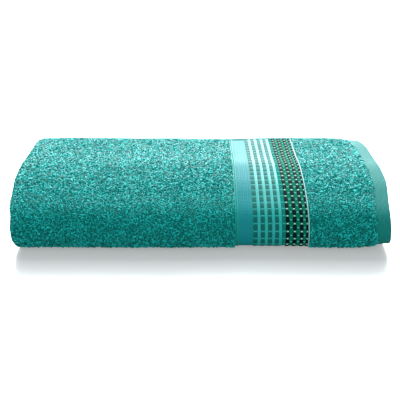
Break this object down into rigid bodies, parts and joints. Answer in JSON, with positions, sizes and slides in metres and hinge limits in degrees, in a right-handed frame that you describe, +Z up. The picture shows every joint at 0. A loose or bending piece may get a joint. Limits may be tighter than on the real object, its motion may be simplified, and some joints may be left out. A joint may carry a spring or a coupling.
{
  "type": "folded bath towel",
  "caption": "Terry bath towel folded into a flat packet with a rounded front fold, patterned woven borders at one end and flat hems; the top half opens like a book.",
  "frame": {"origin": "centre of the bounding box on the surface the packet rests on", "axes": "+Z up; +X along the towel's length towards the bordered ends; the rounded front fold faces -Y and the free side hems face +Y"},
  "size_m": [0.3524, 0.1844, 0.0605],
  "materials": {
    "terry": "matte",
    "woven_border": "matte",
    "flat_hem": "matte"
  },
  "bodies": {
    "lower_half": {"back_border_a": "woven_border", "back_border_b": "woven_border", "back_end_band_a": "terry", "back_end_band_b": "terry", "back_hem_a": "flat_hem", "back_hem_b": "flat_hem", "back_layer_1": "terry", "back_layer_2": "terry", "back_layer_3": "terry", "back_layer_4": "terry", "back_left_fold_inner": "terry", "back_left_fold_outer": "terry", "back_right_fold": "terry", "lower_border_a": "woven_border", "lower_border_b": "woven_border", "lower_end_band_a": "terry", "lower_end_band_b": "terry", "lower_hem_a": "flat_hem", "lower_hem_b": "flat_hem", "lower_layer_1": "terry", "lower_layer_2": "terry", "lower_layer_3": "terry", "lower_layer_4": "terry", "lower_left_fold_inner": "terry", "lower_left_fold_outer": "terry", "lower_right_fold": "terry", "front_border_a": "woven_border", "front_border_b": "woven_border", "front_end_band_a": "terry", "front_end_band_b": "terry", "front_hem_a": "flat_hem", "front_hem_b": "flat_hem", "front_layer_1": "terry", "front_layer_2": "terry", "front_layer_3": "terry", "front_layer_4": "terry", "front_left_fold_inner": "terry", "front_left_fold_outer": "terry", "front_right_fold": "terry"},
    "upper_half": {"side_hem_inner": "flat_hem", "side_hem_top": "flat_hem", "upper_border_a": "woven_border", "upper_border_b": "woven_border", "upper_end_band_a": "terry", "upper_end_band_b": "terry", "upper_hem_a": "flat_hem", "upper_hem_b": "flat_hem", "upper_layer_1": "terry", "upper_layer_2": "terry", "upper_layer_3": "terry", "upper_layer_4": "terry", "upper_left_fold_inner": "terry", "upper_left_fold_outer": "terry", "upper_right_fold": "terry"}
  },
  "joints": [
    {"name": "front_fold", "type": "hinge", "parent": "lower_half", "child": "upper_half", "pos_m": [0, -0.06193, 0.03025], "axis": [1, 0, 0], "range_deg": [0, 178], "deforming": ["front_border_a", "front_border_b", "front_end_band_a", "front_end_band_b", "front_hem_a", "front_hem_b", "front_layer_1", "front_layer_2", "front_layer_3", "front_layer_4", "front_left_fold_inner", "front_left_fold_outer", "front_right_fold"]}
  ]
}
